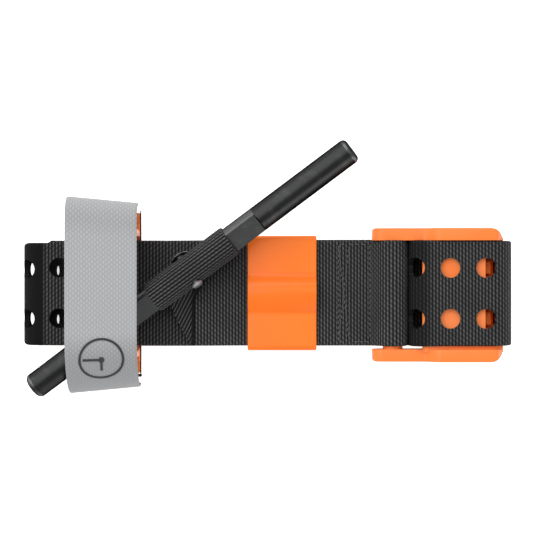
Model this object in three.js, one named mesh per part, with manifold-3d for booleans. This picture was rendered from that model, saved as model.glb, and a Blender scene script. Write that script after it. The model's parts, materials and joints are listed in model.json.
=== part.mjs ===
// Windlass tourniquet lying flat with its belt folded under it, in millimetres, +Z up.
// The origin is on the underside of the belt, on its centreline; +X runs along the belt to the buckle.
import * as THREE from 'three';
import { mergeVertices } from 'three/addons/utils/BufferGeometryUtils.js';
import Module from 'manifold-3d';

const wasm = await Module();
wasm.setup();

// ---- driving dimensions -------------------------------------------------------------------
const GAP = 0.3;                       // clearance between pieces that touch
const BELT_WIDTH = 38.1;
const WEB = 1.5;                       // webbing thickness
const PITCH = WEB + GAP;               // height from one webbing layer to the next
const TAIL_LAYERS = 4;                 // stowed layers under the return run
const BELT_LENGTH = 902;               // from the sewn end to the tip, along the webbing
const HOLE_RADIUS = 3.6;
const HOLE_PITCH = 12.7;
const HOLE_ROW = 9.2;                  // each hole row's distance from the centreline
const HOLE_X = 78.5;                   // the hole over the prongs

const layer = (n) => WEB / 2 + n * PITCH;             // centre height of webbing layer n
const RETURN_Z = layer(TAIL_LAYERS);                  // return run, above the stowed tail
const INNER_Z = layer(TAIL_LAYERS + 1);               // stiffener, clip base and band's lower leg
const TOP_Z = layer(TAIL_LAYERS + 2);                 // belt's top run
const BAND_Z = layer(TAIL_LAYERS + 3);                // tension band, sewn on the top run

const BELT_END_X = 36;
const BAND_END_X = -26.5;              // the band leaves the belt here and twists up to the rod
const LEFT_FOLD_X = -82.6;
const RISE_X = [-79, -66];             // return run climbs onto the tail stack
const TAIL_X = [-62, 78];              // hairpin folds of the stowed tail

const ROD_LENGTH = 143.2;
const ROD_RADIUS = 4.75;
const ROD_CENTRE = [-27, 8.5, 22.5];
const ROD_TURN = THREE.MathUtils.degToRad(36.7);
const ROD_TILT = THREE.MathUtils.degToRad(4.8);
const FLAT_LENGTH = 60.4;
const FLAT_THICKNESS = 5;
const FLAT_ROLL = THREE.MathUtils.degToRad(32);
const LOOP_WIDTH = 34.7;
const LOOP_THICKNESS = 0.8;
const RIVET_RADIUS = 1.5;
const RIVET_LEAN = THREE.MathUtils.degToRad(24);  // its near head points this much upwards

const CLIP_X = [-69.7, -44.4];
const CLIP_HALF = 29.2;
const CLIP_TOP = 27.8;
const HOOK_LENGTH = 10.1;
const HOOK_WALL = 2.6;
const HOOK_LIP = 7;

const STRAP_X = [-70.6, -45.1];
const STRAP = 1.6;
const STRAP_TOP = 29.2;
const STRAP_PIVOT = [33.1, 13];
const STRAP_SLOT_Y = [24.6, 27];       // the clip's slot for the strap's sewn end

const KEEPER_X = [-6.85, 18.05];
const KEEPER_WALL = 1.3;
const RIDGE_RISE = 2.4;                // the keeper's raised middle
const RIDGE_FOOT = 7.4;                // half its width at the foot
const RIDGE_RADIUS = 20;

const BAR_RADIUS = 3.6;
const BAR_X = 45.6;
const BAR_Z = INNER_Z + WEB / 2 + GAP + BAR_RADIUS;
const FRAME_Y = -0.75;                 // the buckle sits slightly off the belt's centreline
const FRAME_INNER = 20.1;
const FRAME_OUTER = 24.1;
const FRAME_X = [38.1, 85];
const FRAME_CORNER = 5;                // large corners at the far end
const BAR_CORNER = 1.2;                // small corners at the bar
const DECK_X = 56;                     // the deck's start; it ends in the belt's fold
const DECK_Z = [17.5, 19.5];
const OVER_Z = DECK_Z[1] + GAP + WEB / 2;
const RIGHT_FOLD_X = 80.6;
const FOLD_ROOM = 6.15;                // radius left for the frame inside that fold
const WINDOW_X = [78.5, 82.2];
const PRONG_X = 80.3;
const COVER_Z = [7.3, 8.5];
const SPRING_Y = 16.3;
const SPRING_Z = 11.4;

// ---- materials ----------------------------------------------------------------------------
const finish = (color, roughness, metalness = 0) => new THREE.MeshStandardMaterial({ color, roughness, metalness });
const looks = {
  webbing: finish(0x373737, 0.9),
  band: finish(0x3a3a3a, 0.85),
  strap: finish(0xafb0b4, 0.85),
  hook: finish(0x2a2a2c, 0.95),
  orange: finish(0xfe8536, 0.45),
  rod: finish(0x3c3d3f, 0.4, 0.8),
  steel: finish(0xb8babd, 0.3, 1),
  board: finish(0x262626, 0.6),
};

const model = new THREE.Group();

function add(name, geometry, material) {
  const mesh = new THREE.Mesh(geometry, material);
  mesh.name = name;
  model.add(mesh);
  return mesh;
}

// ---- solids -------------------------------------------------------------------------------
function toSolid(geometry) {
  const bare = geometry.clone();
  bare.deleteAttribute('normal');
  bare.deleteAttribute('uv');
  const merged = mergeVertices(bare, 1e-4);
  const vertProperties = new Float32Array(merged.attributes.position.array);
  const triVerts = new Uint32Array(merged.index.array);
  return new wasm.Manifold(new wasm.Mesh({ numProp: 3, vertProperties, triVerts }));
}

function toGeometry(solid) {
  const mesh = solid.asOriginal().simplify(0.01).getMesh();
  const geometry = new THREE.BufferGeometry();
  geometry.setAttribute('position', new THREE.BufferAttribute(new Float32Array(mesh.vertProperties), 3));
  geometry.setIndex(new THREE.BufferAttribute(new Uint32Array(mesh.triVerts), 1));
  const flat = geometry.toNonIndexed();
  flat.computeVertexNormals();
  return flat;
}

function box(x, y, z) {
  const geometry = new THREE.BoxGeometry(x[1] - x[0], y[1] - y[0], z[1] - z[0]);
  return geometry.translate((x[0] + x[1]) / 2, (y[0] + y[1]) / 2, (z[0] + z[1]) / 2);
}

function rodAlongY(radius, y, x, z, sides = 20) {
  const geometry = new THREE.CylinderGeometry(radius, radius, y[1] - y[0], sides);
  return geometry.translate(x, (y[0] + y[1]) / 2, z);
}

// An outline of [x, z] points, extruded across the belt between two Y values.
function extrudeAcross(points, y) {
  const shape = new THREE.Shape(points.map(([x, z]) => new THREE.Vector2(x, z)));
  const geometry = new THREE.ExtrudeGeometry(shape, { depth: y[1] - y[0], bevelEnabled: false });
  return geometry.rotateX(Math.PI / 2).translate(0, y[1], 0);
}

// An outline of [y, z] points, extruded along the belt between two X values.
function extrudeAlong(points, x, holes = []) {
  const shape = new THREE.Shape(points.map(([y, z]) => new THREE.Vector2(y, z)));
  for (const hole of holes) {
    shape.holes.push(new THREE.Path(hole.map(([y, z]) => new THREE.Vector2(y, z))));
  }
  const geometry = new THREE.ExtrudeGeometry(shape, { depth: x[1] - x[0], bevelEnabled: false });
  geometry.rotateY(Math.PI / 2).rotateX(Math.PI / 2);
  return geometry.translate(x[0], 0, 0);
}

// An outline of [x, y] points, extruded upwards between two heights.
function extrudeUp(points, z) {
  const shape = new THREE.Shape(points.map(([x, y]) => new THREE.Vector2(x, y)));
  return new THREE.ExtrudeGeometry(shape, { depth: z[1] - z[0], bevelEnabled: false }).translate(0, 0, z[0]);
}

// Points on an arc about a centre; angles in degrees, radii along the two axes.
function arc(centre, radius, from, to, steps, radius2 = radius) {
  const points = [];
  for (let i = 0; i <= steps; i += 1) {
    const a = THREE.MathUtils.degToRad(from + (to - from) * i / steps);
    points.push([centre[0] + radius * Math.cos(a), centre[1] + radius2 * Math.sin(a)]);
  }
  return points;
}

// Points on a smooth climb between two places.
function climb(a, b, steps) {
  const points = [];
  for (let i = 0; i <= steps; i += 1) {
    const t = i / steps;
    points.push([a[0] + (b[0] - a[0]) * t, a[1] + (b[1] - a[1]) * THREE.MathUtils.smoothstep(t, 0, 1)]);
  }
  return points;
}

// The closed outline of a strip of one thickness along a centreline.
function stripOutline(path, thickness) {
  const left = [];
  const right = [];
  path.forEach((p, i) => {
    const before = path[Math.max(i - 1, 0)];
    const after = path[Math.min(i + 1, path.length - 1)];
    const d1 = new THREE.Vector2(p[0] - before[0], p[1] - before[1]).normalize();
    const d2 = new THREE.Vector2(after[0] - p[0], after[1] - p[1]).normalize();
    const direction = d1.clone().add(d2).normalize();
    const spread = thickness / 2 / Math.max(direction.dot(i ? d1 : d2), 0.5);
    left.push([p[0] - direction.y * spread, p[1] + direction.x * spread]);
    right.push([p[0] + direction.y * spread, p[1] - direction.x * spread]);
  });
  return left.concat(right.reverse());
}

function pathLength(path) {
  return path.slice(1).reduce((sum, p, i) => sum + Math.hypot(p[0] - path[i][0], p[1] - path[i][1]), 0);
}

// ---- belt and band ------------------------------------------------------------------------
function beltPath() {
  const foldRadius = (TOP_Z - layer(0)) / 2;
  const underBar = BAR_Z - RETURN_Z;
  const turn = 5;
  const path = [
    [BELT_END_X, TOP_Z],
    ...arc([LEFT_FOLD_X, layer(0) + foldRadius], foldRadius, 90, 270, 14),
    ...climb([RISE_X[0], layer(0)], [RISE_X[1], RETURN_Z], 8),
    ...arc([BAR_X, BAR_Z], underBar, -90, 0, 8),
    ...arc([BAR_X + underBar + turn, OVER_Z - turn], turn, 180, 90, 6),
    ...arc([RIGHT_FOLD_X, (OVER_Z + layer(3)) / 2], (OVER_Z - layer(3)) / 2, 90, -90, 14),
    ...arc([TAIL_X[0], layer(2.5)], PITCH / 2, 90, 270, 6),
    ...arc([TAIL_X[1], layer(1.5)], PITCH / 2, 90, -90, 6),
    ...arc([TAIL_X[0], layer(0.5)], PITCH / 2, 90, 270, 6),
  ];
  const last = path[path.length - 1];
  return path.concat([[last[0] + BELT_LENGTH - pathLength(path), layer(0)]]);
}

function mainBelt() {
  const half = BELT_WIDTH / 2;
  let solid = toSolid(extrudeAcross(stripOutline(beltPath(), WEB), [-half, half]));
  for (const row of [-HOLE_ROW, HOLE_ROW]) {
    for (const step of [-1, 0]) {
      const hole = new THREE.CylinderGeometry(HOLE_RADIUS, HOLE_RADIUS, 2 * WEB, 16).rotateX(Math.PI / 2);
      solid = solid.subtract(toSolid(hole.translate(HOLE_X + step * HOLE_PITCH, row, OVER_Z)));
    }
  }
  return toGeometry(solid);
}

function tensionBand() {
  const round = BAR_RADIUS + GAP + WEB / 2;
  const path = [
    [BAND_END_X, BAND_Z],
    [BAR_X - 7.1, BAND_Z],
    ...arc([BAR_X, BAR_Z], round, 140, -90, 14),
    [BELT_END_X - 11, INNER_Z],
  ];
  return extrudeAcross(stripOutline(path, WEB), [-BELT_WIDTH / 2, BELT_WIDTH / 2]);
}

add('main_belt', mainBelt(), looks.webbing);
add('tension_band', tensionBand(), looks.band);
add('base_stiffener', box([-43, -9.5], [-18, 18], [INNER_Z - 0.6, INNER_Z + 0.6]), looks.board);

// ---- windlass -----------------------------------------------------------------------------
// Both pieces are built along X about the rod's centre, then tilted and turned into place.
function placeOnRod(geometry) {
  return geometry.rotateY(-ROD_TILT).rotateZ(ROD_TURN).translate(...ROD_CENTRE);
}

function rivetHole() {
  return toSolid(rodAlongY(RIVET_RADIUS + GAP, [-9, 9], 0, 0).rotateX(-RIVET_LEAN));
}

function windlassRod() {
  const end = ROD_LENGTH / 2;
  const edge = 1.5;
  const profile = [[0, -end], ...arc([ROD_RADIUS - edge, -end + edge], edge, -90, 0, 4),
    ...arc([ROD_RADIUS - edge, end - edge], edge, 0, 90, 4), [0, end]];
  const lathe = new THREE.LatheGeometry(profile.map(([r, y]) => new THREE.Vector2(r, y)), 32);
  let solid = toSolid(lathe.rotateZ(-Math.PI / 2));
  for (const side of [-1, 1]) {
    const inner = FLAT_THICKNESS / 2;
    const z = side > 0 ? [inner, inner + 6] : [-inner - 6, -inner];
    const cut = box([-FLAT_LENGTH / 2, FLAT_LENGTH / 2], [-8, 8], z);
    solid = solid.subtract(toSolid(cut.rotateX(FLAT_ROLL)));
  }
  return placeOnRod(toGeometry(solid.subtract(rivetHole())));
}

function windlassLoop() {
  const middle = ROD_RADIUS + GAP + LOOP_THICKNESS / 2;
  const path = [...arc([0, 0], middle, -55, 180, 20), [-middle, -5.2]];
  const loop = toSolid(extrudeAlong(stripOutline(path, LOOP_THICKNESS), [-LOOP_WIDTH / 2, LOOP_WIDTH / 2]));
  return placeOnRod(toGeometry(loop.subtract(rivetHole())));
}

// The rivet crosses the rod's middle and holds the band's loop on it.
function loopRivet() {
  const under = ROD_RADIUS + LOOP_THICKNESS + 2 * GAP;
  const head = [[RIVET_RADIUS, under], [2.7, under], [2.7, under + 0.4], [1.6, under + 0.9]];
  const mirrored = head.map(([r, y]) => [r, -y]).reverse();
  const profile = [[0, -under - 0.9], ...mirrored, ...head, [0, under + 0.9]];
  const rivet = new THREE.LatheGeometry(profile.map(([r, y]) => new THREE.Vector2(r, y)), 20);
  return placeOnRod(rivet.rotateX(-RIVET_LEAN));
}

add('windlass_rod', windlassRod(), looks.rod);
add('windlass_loop', windlassLoop(), looks.band);
add('loop_rivet', loopRivet(), looks.steel);

// ---- clip and time strap --------------------------------------------------------------------
function windlassClip() {
  const baseZ = [INNER_Z - WEB / 2, INNER_Z + WEB / 2];
  let solid = toSolid(box(CLIP_X, [-CLIP_HALF, CLIP_HALF], baseZ));
  for (const side of [-1, 1]) {
    const inner = BELT_WIDTH / 2 + 1.25;
    const outer = inner + HOOK_WALL;
    const lip = outer - HOOK_LIP - HOOK_WALL;
    const corner = 6;
    const hook = [[inner, baseZ[0]], [outer, baseZ[0]],
      ...arc([outer - corner, CLIP_TOP - corner], corner, 0, 90, 6), [lip, CLIP_TOP],
      [lip, CLIP_TOP - 1.5], ...arc([inner - 2, CLIP_TOP - 3.5], 2, 90, 0, 4)];
    const rounded = hook.map(([y, z]) => [side * y, z]);
    const arm = extrudeAlong(side > 0 ? rounded : rounded.reverse(), [CLIP_X[1] - HOOK_LENGTH, CLIP_X[1]]);
    solid = solid.add(toSolid(arm));
    const rim = side > 0 ? [inner, CLIP_HALF] : [-CLIP_HALF, -inner];
    solid = solid.add(toSolid(box(CLIP_X, rim, [baseZ[0], baseZ[1] + 0.7])));
    const foot = side > 0 ? [inner - 0.5, outer + 2.2] : [-outer - 2.2, -inner + 0.5];
    solid = solid.add(toSolid(box([CLIP_X[1] - HOOK_LENGTH, CLIP_X[1]], foot, [baseZ[0], baseZ[1] + 1.4])));
  }
  solid = solid.subtract(toSolid(box([CLIP_X[0] + 1, CLIP_X[1] - 2], STRAP_SLOT_Y, [0, 14])));
  return toGeometry(solid);
}

function strapAnchor() {
  const path = [[33.1, 12], [33.1, 9.2], [32, 8.1], [26.5, 8.1], [25.7, 9], [25.7, 11.5], [26.6, 12.3], [31.3, 12.3]];
  return extrudeAlong(stripOutline(path, 1).reverse(), [STRAP_X[0] + 2.2, STRAP_X[1] - 2.2]);
}

// The strap leaves the pivot upwards, crosses flat over the clip and rounds down to its tip.
function strapPath() {
  return [
    [STRAP_PIVOT[0], STRAP_PIVOT[1] + 1],
    ...arc([STRAP_PIVOT[0] - 6.2, STRAP_TOP - 7], 7, 0, 90, 7),
    ...arc([-14, 11], 21.6, 90, 180, 14, STRAP_TOP - 11),
    [-35.2, 8.6],
  ];
}

add('windlass_clip', windlassClip(), looks.orange);
add('strap_anchor', strapAnchor(), looks.strap);
add('time_strap', extrudeAlong(stripOutline(strapPath(), STRAP).reverse(), STRAP_X), looks.strap);
add('loop_patch', box([CLIP_X[0] + 1, CLIP_X[1] - 1], [-CLIP_HALF - 1.3, -CLIP_HALF - GAP], [9.2, 11.2]), looks.hook);
add('hook_patch', box([STRAP_X[0] + 1, STRAP_X[1] - 1], [-34.1, -33.1], [8.8, 13.4]), looks.hook);

// ---- keeper -------------------------------------------------------------------------------
// The roof's outline at one height: flat, a short slope, a low rounded ridge and the same again.
function keeperRoof(spread, height) {
  const slope = [[RIDGE_FOOT + spread, height], [RIDGE_FOOT - 1.4 + spread, height + RIDGE_RISE / 3]];
  const crown = arc([0, height + RIDGE_RISE - RIDGE_RADIUS], RIDGE_RADIUS, 78, 102, 4);
  const otherSlope = slope.map(([y, z]) => [-y, z]).reverse();
  return [...slope, ...crown.map(([y, z]) => [y + Math.sign(y) * spread, z]), ...otherSlope];
}

function keeperSleeve() {
  const inner = BELT_WIDTH / 2 + GAP + 0.1;
  const outer = inner + KEEPER_WALL;
  const corner = 1.6;
  const low = TOP_Z - WEB / 2 - GAP;
  const top = BAND_Z + WEB / 2 + GAP;
  const roof = top + KEEPER_WALL;
  const outline = [[outer, low - 1], ...arc([outer - corner, roof - corner], corner, 0, 90, 4),
    ...keeperRoof(0.4, roof), ...arc([corner - outer, roof - corner], corner, 90, 180, 4), [-outer, low - 1]];
  const hole = [[inner, low], [inner, top], ...keeperRoof(-0.4, top), [-inner, top], [-inner, low]];
  return extrudeAlong(outline, KEEPER_X, [hole]);
}

add('keeper_sleeve', keeperSleeve(), looks.orange);

// ---- buckle -------------------------------------------------------------------------------
// Side view of a rail: low round nose at the bar, stepping up to the deck, with a skirt below it.
function railOutline() {
  const nose = BAR_RADIUS + 0.4;
  const low = BAR_Z - nose;
  const high = DECK_Z[1] + 2.4;
  return [
    [FRAME_X[0] + nose, low], [DECK_X - 0.5, low], [DECK_X + 0.8, COVER_Z[1] + GAP],
    [FRAME_X[1] - 5, COVER_Z[1] + GAP], ...arc([FRAME_X[1] - 4, high - 5], 4, -40, 40, 4),
    [FRAME_X[1] - 1.5, high], ...climb([DECK_X + 6.5, high], [DECK_X, BAR_Z + nose], 5),
    ...arc([FRAME_X[0] + nose, BAR_Z], nose, 90, 270, 8).slice(0, -1),
  ];
}

// The frame's plan: a rectangle with large corners at the far end and small ones at the bar.
function framePlan() {
  const [x0, x1] = FRAME_X;
  const y0 = FRAME_Y - FRAME_OUTER;
  const y1 = FRAME_Y + FRAME_OUTER;
  const far = FRAME_CORNER;
  const near = BAR_CORNER;
  return [...arc([x1 - far, y1 - far], far, 0, 90, 6), ...arc([x0 + near, y1 - near], near, 90, 180, 3),
    ...arc([x0 + near, y0 + near], near, 180, 270, 3), ...arc([x1 - far, y0 + far], far, 270, 360, 6)];
}

// The deck carries the belt from the bar to its fold, with a chamfered start and two windows for the prongs.
function deckPlate(sunk) {
  const foldZ = (OVER_Z + layer(3)) / 2;
  const start = 0.8;
  const low = THREE.MathUtils.radToDeg(Math.asin((DECK_Z[0] - foldZ) / FOLD_ROOM));
  const outline = [[DECK_X, DECK_Z[0]], ...arc([RIGHT_FOLD_X, foldZ], FOLD_ROOM, low, 90, 5),
    [DECK_X + start, DECK_Z[1]], [DECK_X, DECK_Z[1] - start]];
  let solid = toSolid(extrudeAcross(outline, sunk));
  for (const row of [-HOLE_ROW, HOLE_ROW]) {
    solid = solid.subtract(toSolid(box(WINDOW_X, [row - HOLE_RADIUS, row + HOLE_RADIUS], [0, 40])));
  }
  return solid;
}

const screwPlaces = [60, 76].flatMap((x) => [-22.1, 22.1].map((y) => [x, FRAME_Y + y]));

function screwShape(clearance) {
  const r = 0.9 + clearance;
  const head = 1.5 + clearance;
  const points = [[0, COVER_Z[0] - clearance], [head, COVER_Z[0] - clearance], [head, COVER_Z[0] + 0.7 + clearance],
    [r, COVER_Z[0] + 0.7 + clearance], [r, 13 + clearance], [0, 13 + clearance]];
  return new THREE.LatheGeometry(points.map(([a, b]) => new THREE.Vector2(a, b)), 12).rotateX(Math.PI / 2);
}

function withoutScrews(solid) {
  return screwPlaces.reduce((rest, [x, y]) => rest.subtract(toSolid(screwShape(GAP).translate(x, y, 0))), solid);
}

function buckleFrame() {
  const inner = [FRAME_Y - FRAME_INNER, FRAME_Y + FRAME_INNER];
  const outer = [FRAME_Y - FRAME_OUTER, FRAME_Y + FRAME_OUTER];
  let solid = toSolid(extrudeAcross(railOutline(), [outer[0], inner[0]]));
  solid = solid.add(toSolid(extrudeAcross(railOutline(), [inner[1], outer[1]])));
  solid = solid.intersect(toSolid(extrudeUp(framePlan(), [0, 40])));
  const sunk = [inner[0] - 1, inner[1] + 1];
  const bar = rodAlongY(BAR_RADIUS, sunk, BAR_X, BAR_Z, 24);
  const endBar = box([WINDOW_X[1] + 0.7, FRAME_X[1]], sunk, [10.6, 16.3]);
  solid = solid.add(deckPlate(sunk)).add(toSolid(bar)).add(toSolid(endBar));
  return toGeometry(withoutScrews(solid));
}

function bottomCover() {
  const cover = toSolid(box([DECK_X + 1.5, RIGHT_FOLD_X + 0.8], [FRAME_Y - 23.8, FRAME_Y + 23.8], COVER_Z));
  return toGeometry(withoutScrews(cover));
}

// The carriage slides on the cover; its wedge lifts the prong block as it moves towards the end bar.
function lockCarriage() {
  const floor = COVER_Z[1] + GAP;
  const back = PRONG_X - 6.3;
  const wedge = [[back, floor], [back + 4, floor], [back + 0.85, floor + 4.5], [back, floor + 4.5]];
  let solid = toSolid(box([back - 13, back], [-14, 14], [floor, floor + 1.6]));
  solid = solid.add(toSolid(extrudeAcross(wedge, [-4.5, 4.5])));
  solid = solid.add(toSolid(box([back - 1, back + 0.2], [-4.5, 4.5], [floor, floor + 4.5])));
  for (const side of [-1, 1]) {
    const y = side > 0 ? [13.5, 18.6] : [-18.6, -13.5];
    solid = solid.add(toSolid(box([back - 2, back], y, [floor, floor + 5])));
  }
  return toGeometry(solid);
}

function prongBlock() {
  const low = COVER_Z[1] + 0.5;
  let solid = toSolid(box([PRONG_X - 2, PRONG_X + 2], [-13, 13], [low, low + 3]));
  for (const y of [-HOLE_ROW, HOLE_ROW]) {
    const points = [[0, low + 1], [1.4, low + 1], [1.4, low + 6.8], [0.8, low + 8], [0, low + 8.3]];
    const prong = new THREE.LatheGeometry(points.map(([a, b]) => new THREE.Vector2(a, b)), 16);
    solid = solid.add(toSolid(prong.rotateX(Math.PI / 2).translate(PRONG_X, y, 0)));
  }
  return toGeometry(solid);
}

class Coil extends THREE.Curve {
  constructor(radius, length, turns) {
    super();
    Object.assign(this, { radius, length, turns });
  }

  getPoint(t, target = new THREE.Vector3()) {
    const a = t * this.turns * 2 * Math.PI;
    return target.set(t * this.length, this.radius * Math.cos(a), this.radius * Math.sin(a));
  }
}

function returnSpring(y) {
  const wire = 0.3;
  const x = [PRONG_X - 5.9, WINDOW_X[1] + 0.4];
  const section = new THREE.Shape(arc([0, 0], wire, 0, 300, 5).map(([a, b]) => new THREE.Vector2(a, b)));
  const extrudePath = new Coil(1.6, x[1] - x[0] - 2 * wire, 5);
  const coil = new THREE.ExtrudeGeometry(section, { steps: 60, extrudePath, bevelEnabled: false });
  return coil.translate(x[0] + wire, y, SPRING_Z);
}

add('buckle_frame', buckleFrame(), looks.orange);
add('bottom_cover', bottomCover(), looks.orange);
screwPlaces.forEach(([x, y], i) => add(`cover_screw_${i + 1}`, screwShape(0).translate(x, y, 0), looks.steel));
add('lock_carriage', lockCarriage(), looks.steel);
add('prong_block', prongBlock(), looks.orange);
add('return_spring_1', returnSpring(SPRING_Y), looks.steel);
add('return_spring_2', returnSpring(-SPRING_Y), looks.steel);

export default model;
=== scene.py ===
"""Looks of a windlass tourniquet that lies flat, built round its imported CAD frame.

Lengths are in millimetres. Strips are made flat, with u along them, v across and w through, and then bent.
"""

import json
import math

import bmesh
import bpy
import numpy as np
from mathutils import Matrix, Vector


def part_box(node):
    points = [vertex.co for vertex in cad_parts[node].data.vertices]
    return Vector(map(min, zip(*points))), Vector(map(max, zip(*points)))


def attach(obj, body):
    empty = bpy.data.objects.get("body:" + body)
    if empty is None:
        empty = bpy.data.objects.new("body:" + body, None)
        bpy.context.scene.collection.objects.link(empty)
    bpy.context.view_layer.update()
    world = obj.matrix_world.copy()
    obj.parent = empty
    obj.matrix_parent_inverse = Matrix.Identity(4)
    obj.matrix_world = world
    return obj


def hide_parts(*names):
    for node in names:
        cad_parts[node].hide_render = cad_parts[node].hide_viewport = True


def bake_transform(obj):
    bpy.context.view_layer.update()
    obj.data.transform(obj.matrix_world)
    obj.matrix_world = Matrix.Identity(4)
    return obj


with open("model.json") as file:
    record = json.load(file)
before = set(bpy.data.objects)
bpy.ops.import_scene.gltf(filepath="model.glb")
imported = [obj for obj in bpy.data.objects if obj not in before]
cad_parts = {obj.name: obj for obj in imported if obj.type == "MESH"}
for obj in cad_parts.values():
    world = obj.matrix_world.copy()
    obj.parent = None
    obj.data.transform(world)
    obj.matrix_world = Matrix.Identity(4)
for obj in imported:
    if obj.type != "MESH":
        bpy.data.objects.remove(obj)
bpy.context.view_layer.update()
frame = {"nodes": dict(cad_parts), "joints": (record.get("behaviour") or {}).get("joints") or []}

# ---- driving dimensions ----
MM = 0.001
GAP = 0.3  # clearance between pieces that touch
BELT_WIDTH = 38.1
WEB = 1.5  # webbing thickness
PITCH = WEB + GAP  # height from one webbing layer to the next
BELT_LENGTH = 902.0
HOLE_RADIUS = 3.6
HOLE_PITCH = 12.7
HOLE_ROW = 9.2
HOLE_X = 78.5  # the hole over the prongs
TAIL_LAYERS = 4  # stowed layers under the return run
RIB_PITCH = 1.18  # the belt's cross ribs
RIB_DASH = 1.8  # one over and one under of a rib's yarn
RIB_DEPTH = 0.24
SELVEDGE = 1.3  # the ribs get shallower this close to a strip's edges
BAND_RIB_PITCH = 1.13
SLEEVE_RIB_PITCH = 1.19  # spread out where the band wraps the rod
STRAP_RIB = 0.97
STRAP_DASH = 1.76

LEFT_FOLD_X = -82.6
RIGHT_FOLD_X = 80.6
BELT_END_X = 36.0
BAND_END_X = -26.5  # the band leaves the belt here and twists up to the rod
TAIL_X = (-62.0, 78.0)  # hairpin folds of the stowed tail
RISE_X = (-79.0, -66.0)  # the return run climbs onto the tail

BAR_X = 45.6
BAR_RADIUS = 3.6
DECK_TOP = 19.5
PRONG_X = 80.3
WINDOW_X = (78.5, 82.2)

ROD_LENGTH = 143.2
ROD_RADIUS = 4.75
FLAT_HALF = 30.2
FLAT_THICKNESS = 5.0
FLAT_ROLL = math.radians(32)
ROD_TURN = math.radians(36.7)
ROD_TILT = math.radians(4.8)
ROD_EDGE = 1.9  # rounding of the rod's ends
LOOP_HALF = 17.35
LOOP_THICKNESS = 0.8
SECTION_STEP = 0.95  # points across the belt and the band


def layer(n):
    """Centre height of webbing layer n."""
    return WEB / 2 + n * PITCH


RETURN_Z, INNER_Z, TOP_Z, BAND_Z = (layer(TAIL_LAYERS + n) for n in range(4))
BAR_Z = INNER_Z + WEB / 2 + GAP + BAR_RADIUS
OVER_Z = DECK_TOP + GAP + WEB / 2


def node_box(name):
    """Lowest and highest corner of a CAD node, in millimetres."""
    low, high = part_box(name)
    return np.array(low) / MM, np.array(high) / MM


def joint(name):
    """A joint's record in the frame."""
    return next(j for j in frame["joints"] if j["name"] == name)


# ---- node graphs ----
class Graph:
    """A material's nodes, added one at a time and linked by their inputs."""

    def __init__(self, name):
        self.material = bpy.data.materials.new(name)
        self.material.use_nodes = True
        self.tree = self.material.node_tree
        self.tree.nodes.clear()

    def add(self, kind, inputs=(), **settings):
        node = self.tree.nodes.new(kind)
        for key, value in settings.items():
            setattr(node, key, value)
        for key, value in dict(inputs).items():
            if isinstance(value, bpy.types.NodeSocket):
                self.tree.links.new(value, node.inputs[key])
            else:
                node.inputs[key].default_value = value
        return node

    def math(self, operation, *values):
        return self.add("ShaderNodeMath", enumerate(values), operation=operation).outputs[0]

    def noise(self, scale, detail=3.0, vector=None):
        vector = vector or self.add("ShaderNodeTexCoord").outputs["Object"]
        inputs = {"Scale": scale, "Detail": detail, "Vector": vector}
        return self.add("ShaderNodeTexNoise", inputs).outputs["Fac"]

    def flat(self):
        """The three values that a piece keeps from before it was bent; on the webbing the third is instead a
        painted shade factor.
        """
        weave = self.add("ShaderNodeAttribute", attribute_name="weave").outputs["Vector"]
        return self.add("ShaderNodeSeparateXYZ", {0: weave}).outputs

    def remap(self, value, low, high, new_low=0.0, new_high=1.0):
        inputs = {"Value": value, "From Min": low, "From Max": high, "To Min": new_low, "To Max": new_high}
        return self.add("ShaderNodeMapRange", inputs).outputs[0]

    def mix(self, factor, a, b):
        node = self.add("ShaderNodeMix", data_type="RGBA")
        for socket, value in zip((node.inputs[0], node.inputs[6], node.inputs[7]), (factor, a, b)):
            if isinstance(value, bpy.types.NodeSocket):
                self.tree.links.new(value, socket)
            else:
                socket.default_value = value
        return node.outputs[2]

    def bump(self, height, distance, strength=1.0):
        inputs = {"Height": height, "Distance": distance * MM, "Strength": strength}
        return self.add("ShaderNodeBump", inputs).outputs[0]

    def finish(self, **inputs):
        shader = self.add("ShaderNodeBsdfPrincipled", {k.replace("_", " "): v for k, v in inputs.items()})
        self.add("ShaderNodeOutputMaterial", {"Surface": shader.outputs[0]})
        return self.material


def grey(value, tint=0.0):
    """A linear grey, a little bluer by tint."""
    return (value * (1 - tint), value, value * (1 + tint), 1)


# ---- materials ----
def weave_tone(g, across, along, pitch, dash, swing):
    """Ribs whose yarn floats alternate: height on the rib, 0 to 1, and the yarn's wave along it, -1 to 1."""
    rib = g.math("DIVIDE", across, pitch)
    index = g.math("ROUND", rib)
    parity = g.math("PINGPONG", index, 1.0)
    phase = g.math("MULTIPLY_ADD", along, 1 / dash, g.math("MULTIPLY", parity, 0.5))
    wave = g.math("SINE", g.math("MULTIPLY", phase, math.tau))
    offset = g.math("MULTIPLY_ADD", wave, swing, g.math("SUBTRACT", rib, index))
    ridge = g.math("MULTIPLY_ADD", g.math("COSINE", g.math("MULTIPLY", offset, math.tau)), 0.5, 0.5)
    floats = g.math("COSINE", g.math("MULTIPLY", phase, math.tau))
    return ridge, floats


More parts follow.
